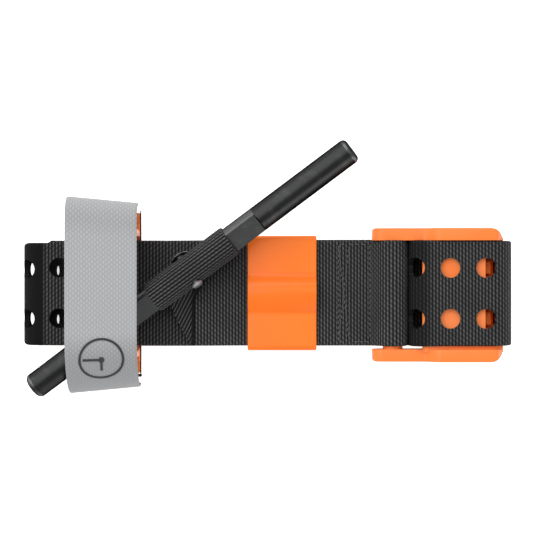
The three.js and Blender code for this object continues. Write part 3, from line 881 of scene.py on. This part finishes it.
def loop_weave(grid, sigmas, on_sleeve):
    """Each place's distance across the ribs and along them, and how clearly the ribs show there, which also
    paints shade: dark where the band leaves the belt, dimmer below the rod on its near side and down its far
    side.
    """
    rod = grid - ROD_CENTRE
    turn = np.degrees(np.arctan2(rod @ UPWARD, rod @ SIDE))
    round_rod = np.radians((turn + 90) % 360) * (ROD_RADIUS + LOOP_THICKNESS)
    leg = grid[:, :, 0] * math.sin(LEG_RIBS) - grid[:, :, 1] * math.cos(LEG_RIBS)
    length = np.where(on_sleeve > 0.5, round_rod, leg * SLEEVE_RIB_PITCH / BAND_RIB_PITCH)
    across = np.broadcast_to((sigmas * BELT_WIDTH / 2)[:, None], grid.shape[:2])
    flank = smoothstep(turn, WRAP[0], 4)
    off_belt = smoothstep(BAND_END_X + band_start(across) - grid[:, :, 0], 0.2, 1.2) * (1 - on_sleeve)
    # Painted shade: dim below the rod on its near side, dark where the leg leaves the belt, dimmer down the
    # far side.
    clear = np.clip((0.25 + 0.75 * flank) * on_sleeve + off_belt, 0, 1)
    clear *= 1 - 0.6 * smoothstep(turn, 150, 175) * on_sleeve
    return length, across, clear


def shell(outer, inner):
    """Points and faces of a closed shell between two grids of points."""
    rows, columns = outer.shape[:2]
    offset = rows * columns
    index = np.arange(offset).reshape(rows, columns)
    quads = np.stack([index[:-1, :-1], index[:-1, 1:], index[1:, 1:], index[1:, :-1]], axis=-1).reshape(-1, 4)
    border = np.concatenate([index[0, :], index[1:, -1], index[-1, -2::-1], index[-2:0:-1, 0]])
    following = np.roll(border, -1)
    rim = np.stack([following, border, border + offset, following + offset], axis=1)
    faces = np.concatenate([quads, quads[:, ::-1] + offset, rim]).tolist()
    return np.concatenate([outer.reshape(-1, 3), inner.reshape(-1, 3)]), faces


def make_band_loop():
    """The band's thin sheet over the rod, as a closed shell with ribs that run along the rod."""
    sigmas = np.linspace(-1, 1, 81)
    grid, normal, on_sleeve = loop_sheet(sigmas)
    length, across, clear = loop_weave(grid, sigmas, on_sleeve)
    edge = smoothstep(1 - np.abs(sigmas), 0.0, 0.06)[:, None]
    ribs = 0.5 + 0.5 * np.cos(math.tau * length / SLEEVE_RIB_PITCH)
    ribs *= 0.88 + 0.12 * np.cos(math.tau * across / 2.0)
    half = LOOP_THICKNESS / 2 * (0.55 + 0.45 * edge)
    outer = grid + normal * (half + 0.3 * (ribs - 0.6) * edge * clear)[:, :, None]
    inner = grid - normal * half[:, :, None]
    points, faces = shell(outer, inner)
    loop = new_object("band_loop", points, faces)
    weave = np.stack([length, across, clear], axis=-1).reshape(-1, 3)
    move_points(loop, points, np.concatenate([weave, weave]))
    settle(loop, None, "sleeve", ["windlass_loop"], sharp=60)
    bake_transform(loop)


RIVET_PLACE = -0.9  # along the rod from its middle
RIVET_LEAN = math.radians(24)  # the near head points this much upward


def make_rivet():
    """The rivet through the rod: a domed head on the near side and a wide thin washer on the far side."""
    profile = [(0, -6.4), (3.3, -6.4), (3.5, -6.3), (3.5, -6.15), (3.3, -6.1), (1.5, -6.05), (1.5, 5.9),
               (2.0, 5.95), (2.15, 6.15), (1.9, 6.6), (1.1, 6.85), (0, 6.9)]
    points, faces = lathe(profile, 40)
    s, up, out = points.T
    lean_side, lean_up = math.cos(RIVET_LEAN), math.sin(RIVET_LEAN)
    placed = on_rod(RIVET_PLACE + s, out * lean_side - up * lean_up, out * lean_up + up * lean_side)
    rivet = solid("band_rivet", placed, faces)
    settle(rivet, "windlass", "steel", ["loop_rivet"])


# ---- time strap ----
STRAP_X = (node_box("time_strap")[0][0], node_box("time_strap")[1][0])
STRAP_TOP = 29.2
STRAP_STEP = 0.33  # points along the strap and across it
ANCHOR_WIDTH = 21.1  # the strap is gathered to this width in the clip's slot
DIAL_Y = -29.4
DIAL_RADIUS = 7.7
DIAL_LINE = 0.8  # width of the ring and of the hands
DIAL_DEPTHS = (0.7, 1.02)  # from the strap's middle
DIAL_HANDS = ((6.6, 92.0), (4.3, 1.0))  # length and angle


def strap_route():
    """The strap's line in y and z: hooked round the clip's slot, up past its hinge, over the rod and down."""
    pivot = np.array(joint("strap_open")["pos_m"])[1:] / MM
    pieces = [
        [(31.3, 12.3), (26.6, 12.3), (25.7, 11.4), (25.7, 9.0), (26.5, 8.1), (32.0, 8.1), (33.1, 9.2)],
        (pivot[0], pivot[1] + 1),
        arc((pivot[0] - 6.2, STRAP_TOP - 7), 7, 0, 90, 20),
        arc((-14, 11), 21.6, 90, 180, 40, STRAP_TOP - 11),
        (-35.2, 8.6),
    ]
    return Route(pieces, soften=0.5)


def lean(x, y, z):
    """The strap's loop is longer on the rod's side: its far edge is pulled in towards the clip."""
    far = np.maximum(smoothstep(z, 9.0, 14.0), smoothstep(y, 27.5, 31.5))
    share = (x - STRAP_X[0]) / (STRAP_X[1] - STRAP_X[0]) * np.where(y < 0, 1.0, far)
    return np.stack([x, y - (y + 0.7) * 0.068 * share, z], axis=1)


def strap_layer(name, depths, span, look, replaced, bump, wider=0.0):
    """One layer of the strap, between two depths from its middle and between two distances along it."""
    thickness = depths[1] - depths[0]
    width = STRAP_X[1] - STRAP_X[0] + wider
    made = sweep(name, rows_between([(*span, STRAP_STEP)]), strip_section(width, thickness, STRAP_STEP))
    flat = points_of(made)
    u, v, w = flat.T
    face = smoothstep(np.abs(w), 0.35 * thickness, 0.499 * thickness)
    ribs = rib_height(v, u, STRAP_RIB, STRAP_DASH, 0.0) - 0.5
    y, z = strap_route().bend(u, w + sum(depths) / 2 + np.sign(w) * bump * face * ribs)
    gather = 1 - (1 - ANCHOR_WIDTH / width) * (1 - smoothstep(u, 14.0, 30.0))
    middle = sum(STRAP_X) / 2 - 0.6 + wider / 2
    move_points(made, lean(middle + v * gather, y, z), flat)
    settle(made, None, look, replaced, sharp=50)
    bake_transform(made)


def make_strap():
    """The strap's light outer tape and, inside it, its dark hook tape, which is doubled at the tip."""
    end = strap_route().length
    strap_layer("time_strap_tape", (-0.2, 0.8), (0.0, end), "strap",
                ["time_strap", "strap_anchor"], 0.14)
    strap_layer("time_strap_lining", (-0.8, -0.25), (32.0, end - 0.6), "hook", [], 0.05, -0.5)
    strap_layer("time_strap_hooks", (-2.1, -0.85), (end - 6.2, end - 1.2), "hook",
                ["hook_patch"], 0.12, -1.6)


def dial_hand(length, angle):
    """A hand's outline, from the dial's middle outwards."""
    along = np.linspace(0, length, 12)
    half = np.full(12, DIAL_LINE / 2)
    outline = np.concatenate([np.stack([along, -half], 1), np.stack([along[::-1], half], 1)])
    a = math.radians(angle)
    return outline @ np.array([[math.cos(a), math.sin(a)], [-math.sin(a), math.cos(a)]])


def make_dial():
    """A printed clock face without marks: a ring, a hub and two hands, all one thin raised piece."""
    dial = prism("dial_ring", circle(DIAL_RADIUS + DIAL_LINE / 2, 120), *DIAL_DEPTHS, 2)
    inside = prism("dial_inside", circle(DIAL_RADIUS - DIAL_LINE / 2, 120), 0.5, 1.2, 2)
    combine(dial, inside, "DIFFERENCE")
    hub = prism("dial_hub", circle(1.1, 24), *DIAL_DEPTHS, 2)
    for length, angle in DIAL_HANDS:
        combine(hub, prism("dial_hand", dial_hand(length, angle), *DIAL_DEPTHS, 2), "UNION")
    flat = np.concatenate([points_of(dial), points_of(hub)])
    faces = [list(f.vertices) for f in dial.data.polygons]
    count = len(dial.data.vertices)
    faces += [[count + k for k in f.vertices] for f in hub.data.polygons]
    for piece in (dial, hub):
        bpy.data.objects.remove(piece)
    made = new_object("dial_print", flat, faces)
    route = strap_route()
    centre = route.nearest((DIAL_Y, 40.0), 50)
    y, z = route.bend(centre + flat[:, 0], flat[:, 2])
    move_points(made, lean(sum(STRAP_X) / 2 - 0.5 - flat[:, 1], y, z))
    settle(made, "time_flap", "ink", sharp=60)


# ---- clip ----
CLIP_X = (-69.7, -46.0)
CLIP_HALF = 29.2
CLIP_TOP = 27.8
CLIP_INNER = BELT_WIDTH / 2 + 1.25  # half the space between its hooks
CLIP_SLOT_Y = (24.6, 27.0)  # the strap is sewn through it
HOOK_LENGTH = 10.1
HOOK_WALL = 2.6
HOOK_LIP = 7.0


def box_piece(name, x, y, z, round_by=0.5, segments=3):
    """A rounded block between two values of each axis."""
    corners = [(x[0], y[0]), (x[1], y[0]), (x[1], y[1]), (x[0], y[1])]
    return rounded(prism(name, corners, z[0], z[1], 2), round_by, segments)


def hook_outline():
    """A hook in y and z: an upright wall that bends inward to a rounded lip."""
    outer = CLIP_INNER + HOOK_WALL
    lip = outer - HOOK_LIP - HOOK_WALL
    low = INNER_Z - WEB / 2
    return np.concatenate([[(CLIP_INNER, low), (outer, low)], arc((outer - 6, CLIP_TOP - 6), 6, 0, 90, 16),
                           arc((lip, CLIP_TOP - 0.75), 0.75, 100, 260, 8),
                           arc((CLIP_INNER - 2, CLIP_TOP - 3.5), 2, 90, 0, 8)])


def make_clip():
    """The clip: a base between the belt's layers, with a hook, a rim and a foot on each side and a slot."""
    base = (INNER_Z - WEB / 2, INNER_Z + WEB / 2)
    clip = box_piece("windlass_clip_body", CLIP_X, (-CLIP_HALF, CLIP_HALF), base)
    arm_x = (CLIP_X[1] - HOOK_LENGTH, CLIP_X[1])
    for side in (-1, 1):
        outline = hook_outline() * (side, 1)
        arm = rounded(prism("arm", outline, arm_x[0], arm_x[1], 0), 0.5)
        combine(clip, arm, "UNION")
        rim = sorted((side * CLIP_INNER, side * CLIP_HALF))
        combine(clip, box_piece("rim", CLIP_X, rim, (base[0], base[1] + 0.7)), "UNION")
        foot = sorted((side * (CLIP_INNER - 0.5), side * (CLIP_INNER + HOOK_WALL + 2.2)))
        combine(clip, box_piece("foot", arm_x, foot, (base[0], base[1] + 1.4)), "UNION")
    x, y = (CLIP_X[1] - 1.6, CLIP_X[1] + 5), 19.4  # the lips end short of the walls
    lip_end = prism("lip_end", [(x[0], -y), (x[1], -y), (x[1], y), (x[0], y)], 20, 40, 2)
    combine(clip, lip_end, "DIFFERENCE")
    slot = box_piece("slot", (CLIP_X[0] + 1, CLIP_X[1] - 1.7), CLIP_SLOT_Y, (0, 14), 0.4)
    combine(clip, slot, "DIFFERENCE")
    # The clip takes the paler orange copy, as painted light.
    settle(clip, "belt", "painted_light_orange", ["windlass_clip"], sharp=30)


def make_loop_patch():
    """The soft patch on the clip, and on each side a narrow dark strip along the clip's right edge, put there
    as painted shade.
    """
    patch = box_piece("clip_loop_patch", *zip(*node_box("loop_patch")), 0.3)
    # Each narrow dark strip stands for the shade beside the clip's edge: painted shade.
    for side in (-1, 1):
        y = sorted((side * (BELT_WIDTH / 2 - 1.5), side * (CLIP_HALF + 0.8)))
        edge = box_piece("edge", (CLIP_X[1] + 0.05, CLIP_X[1] + 0.45), y, (INNER_Z, INNER_Z + 1.2), 0.2)
        combine(patch, edge, "UNION")
    settle(patch, "belt", "hook", ["loop_patch"])


# ---- keeper ----
KEEPER_X = (-6.85, 18.05)
KEEPER_WALL = 1.3
HUMP_RISE = 2.3


def hump(y):
    """Height of the keeper's raised middle at a place across the belt."""
    return HUMP_RISE * smoothstep(-y, -7.0, -2.8) * (1 - np.clip((0.2 - y) / 7.1, 0, 1) ** 1.8)


def make_keeper():
    """The keeper: a sleeve all round the belt, with rounded upper corners and a humped roof."""
    inner = BELT_WIDTH / 2 + 0.4
    outer = inner + KEEPER_WALL
    low = TOP_Z - WEB / 2 - GAP
    top = BAND_Z + WEB / 2 + GAP
    corner = 1.5
    y = np.linspace(outer - corner, corner - outer, 81)[1:-1]
    roof = np.stack([y, top + KEEPER_WALL + hump(y)], axis=1)
    section = np.concatenate([
        arc((outer - 0.6, low - 0.4), 0.6, -90, 0, 5),
        arc((outer - corner, top + KEEPER_WALL - corner), corner, 0, 90, 8), roof,
        arc((corner - outer, top + KEEPER_WALL - corner), corner, 90, 180, 8),
        arc((0.6 - outer, low - 0.4), 0.6, 180, 270, 5)])
    keeper = rounded(prism("keeper_body", section, KEEPER_X[0], KEEPER_X[1], 0), 0.45, 3, 60)
    y = np.linspace(inner, -inner, 61)
    hole = np.concatenate([[(inner, low)], np.stack([y, top + 0.9 * hump(y)], axis=1), [(-inner, low)]])
    tunnel = prism("tunnel", hole, KEEPER_X[0] - 2, KEEPER_X[1] + 2, 0)
    combine(keeper, tunnel, "DIFFERENCE")
    settle(keeper, "keeper", "orange", ["keeper_sleeve"], sharp=30)


# ---- buckle ----
FRAME_X = (38.1, 85.0)
FRAME_Y = -0.6
FRAME_INNER = 19.6
FRAME_OUTER = 24.0
DECK_X = 56.0
DECK_LOW = 17.5
FOLD_ROOM = 6.15
COVER_TOP = 8.5


def rail_outline():
    """A rail in x and z: round at the bar, rising in a soft step to the tall part beside the deck."""
    nose = BAR_RADIUS + 0.4
    low, high = BAR_Z - nose, DECK_TOP + 2.4
    floor = COVER_TOP + GAP
    return np.concatenate([
        [(FRAME_X[0] + nose, low), (DECK_X - 0.5, low), (DECK_X + 0.8, floor), (FRAME_X[1] - 5, floor)],
        arc((FRAME_X[1] - 4, high - 5), 4, -40, 40, 10),
        arc((FRAME_X[1] - 3.4, high - 2), 2, 50, 90, 5),
        climb((DECK_X + 6.5, high), (DECK_X, BAR_Z + nose), 14),
        arc((FRAME_X[0] + nose, BAR_Z), nose, 90, 270, 24)[:-1]])


def frame_plan():
    """The frame from above: wide round corners at the deck's end and small ones at the bar's."""
    (x0, x1), y0, y1 = FRAME_X, FRAME_Y - FRAME_OUTER, FRAME_Y + FRAME_OUTER
    return np.concatenate([
        arc((x1 - 5, y1 - 5), 5, 0, 90, 16),
        arc((x0 + 1.2, y1 - 1.2), 1.2, 90, 180, 6),
        arc((x0 + 1.2, y0 + 1.2), 1.2, 180, 270, 6),
        arc((x1 - 5, y0 + 5), 5, 270, 360, 16)])


def deck_outline():
    """The deck in x and z, rounded to carry the belt into its fold."""
    fold_z = (OVER_Z + layer(3)) / 2
    low = math.degrees(math.asin((DECK_LOW - fold_z) / FOLD_ROOM))
    return np.concatenate([[(DECK_X, DECK_LOW)], arc((RIGHT_FOLD_X, fold_z), FOLD_ROOM, low, 90, 14),
                           [(DECK_X + 0.8, DECK_TOP), (DECK_X, DECK_TOP - 0.8)]])


def make_buckle():
    """The frame: two rails, the deck with its windows, the round bar and a bar across the end."""
    inner = (FRAME_Y - FRAME_INNER, FRAME_Y + FRAME_INNER)
    outer = (FRAME_Y - FRAME_OUTER, FRAME_Y + FRAME_OUTER)
    sunk = (inner[0] - 1, inner[1] + 1)
    plan = prism("plan", frame_plan(), 0, 40, 2)
    rails = []
    for low, high in ((outer[0], inner[0]), (inner[1], outer[1])):
        rail = prism("buckle_body", rail_outline(), low, high, 1)
        cutter = plan.copy()
        cutter.data = plan.data.copy()
        bpy.context.collection.objects.link(cutter)
        rails.append(rounded(combine(rail, cutter, "INTERSECT"), 0.7, 4, 38))
    bpy.data.objects.remove(plan)
    buckle = combine(rails[0], rails[1], "UNION")
    deck = prism("deck", deck_outline(), sunk[0], sunk[1], 1)
    for row in (-HOLE_ROW, HOLE_ROW):
        window = box_piece("window", WINDOW_X, (row - HOLE_RADIUS, row + HOLE_RADIUS), (0, 40))
        combine(deck, window, "DIFFERENCE")
    combine(buckle, deck, "UNION")
    bar = prism("bar", circle(BAR_RADIUS, 48, (BAR_X, BAR_Z)), sunk[0], sunk[1], 1)
    combine(buckle, bar, "UNION")
    combine(buckle, box_piece("end_bar", (WINDOW_X[1] + 0.7, FRAME_X[1]), sunk, (10.6, 16.3), 0.8), "UNION")
    # The frame takes the paler orange copy, as painted light.
    settle(buckle, "belt", "painted_light_orange", ["buckle_frame"], sharp=30)


def make_prongs():
    """The block that the carriage lifts, with one flat tooth under each window."""
    low, high = node_box("prong_block")
    x = ((low[0] + high[0]) / 2 - 2, (low[0] + high[0]) / 2 + 2)
    block = box_piece("prong_teeth", x, (low[1], high[1]), (low[2], low[2] + 3), 0.4)
    tooth_x, tooth_z = (PRONG_X - 1.35, PRONG_X + 0.85), (low[2] + 1, high[2] - 2.0)
    for row in (-HOLE_ROW, HOLE_ROW):
        combine(block, box_piece("tooth", tooth_x, (row - 2.4, row + 2.4), tooth_z), "UNION")
    settle(block, "prongs", "orange", ["prong_block"], sharp=30)


def make_springs():
    """Two wire coils for the return springs, which shorten when the carriage slides towards the frame's end;
    these coils stay at one length.
    """
    wire, turns, rings, sides = 0.3, 5, 201, 12
    for k in (1, 2):
        low, high = node_box(f"return_spring_{k}")
        centre = (low + high) / 2
        coil = (high[2] - low[2]) / 2 - wire
        t = np.repeat(np.linspace(0, 1, rings), sides)
        round_wire = np.tile(np.arange(sides) * math.tau / sides, rings)
        turn = t * turns * math.tau
        out = coil + wire * np.cos(round_wire)
        points = np.stack([low[0] + wire + t * (high[0] - low[0] - 2 * wire) + wire * np.sin(round_wire),
                           centre[1] + out * np.cos(turn), centre[2] + out * np.sin(turn)], axis=1)
        made = solid(f"coil_spring_{k}", points, tube_faces(rings, sides))
        settle(made, None, "steel", [f"return_spring_{k}"], sharp=60)
        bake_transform(made)


# ---- making ----
make_belt()
make_band()
make_stitches()
make_rod()
make_band_loop()
make_rivet()
make_strap()
make_dial()
make_clip()
make_loop_patch()
make_keeper()
make_buckle()
make_prongs()
make_springs()

kept = {"base_stiffener": "board", "bottom_cover": "orange", "lock_carriage": "steel"}
kept.update({f"cover_screw_{k}": "steel" for k in range(1, 5)})
for name, look in kept.items():
    node = frame["nodes"][name]
    node.data.materials.clear()
    node.data.materials.append(looks[look])


# ---- floor, light and camera ----
FLOOR_HALF = 3000.0
FLOOR_Z = -0.15  # the lowest ribs stay above it


def floor_material():
    """A bright, even studio floor."""
    g = Graph("studio_floor")
    grain = g.noise(40.0, 3.0)
    return g.finish(Base_Color=g.mix(grain, grey(0.93), grey(0.95)), Roughness=0.9, Emission_Color=grey(1.0),
                    Emission_Strength=0.75)


corners = [(x * FLOOR_HALF, y * FLOOR_HALF, FLOOR_Z) for x, y in ((-1, -1), (1, -1), (1, 1), (-1, 1))]
floor = new_object("floor", corners, [[0, 1, 2, 3]])
floor.data.materials.append(floor_material())


def area_light(name, place, size, power):
    """A square soft light that faces the object."""
    data = bpy.data.lights.new(name, "AREA")
    data.shape = "SQUARE"
    data.size = size
    data.energy = power
    light = bpy.data.objects.new(name, data)
    light.location = place
    light.rotation_euler = (-Vector(place)).to_track_quat("-Z", "Y").to_euler()
    bpy.context.collection.objects.link(light)


area_light("key", (-0.55, 0.75, 1.05), 2.2, 34.0)
area_light("fill", (0.8, -1.05, 0.55), 0.8, 5.8)

scene = bpy.context.scene
world = bpy.data.worlds.new("studio")
world.use_nodes = True
sky = world.node_tree.nodes["Background"]
sky.inputs["Color"].default_value = (1, 1, 1, 1)
sky.inputs["Strength"].default_value = 0.46
scene.world = world
scene.view_settings.view_transform = "Standard"

camera_data = bpy.data.cameras.new("camera")
camera_data.lens = 109.4
camera_data.sensor_width = 36.0
camera_data.clip_start = 0.01
camera = bpy.data.objects.new("camera", camera_data)
camera.location = (0.0, 0.0096, 0.600)
bpy.context.collection.objects.link(camera)
scene.camera = camera
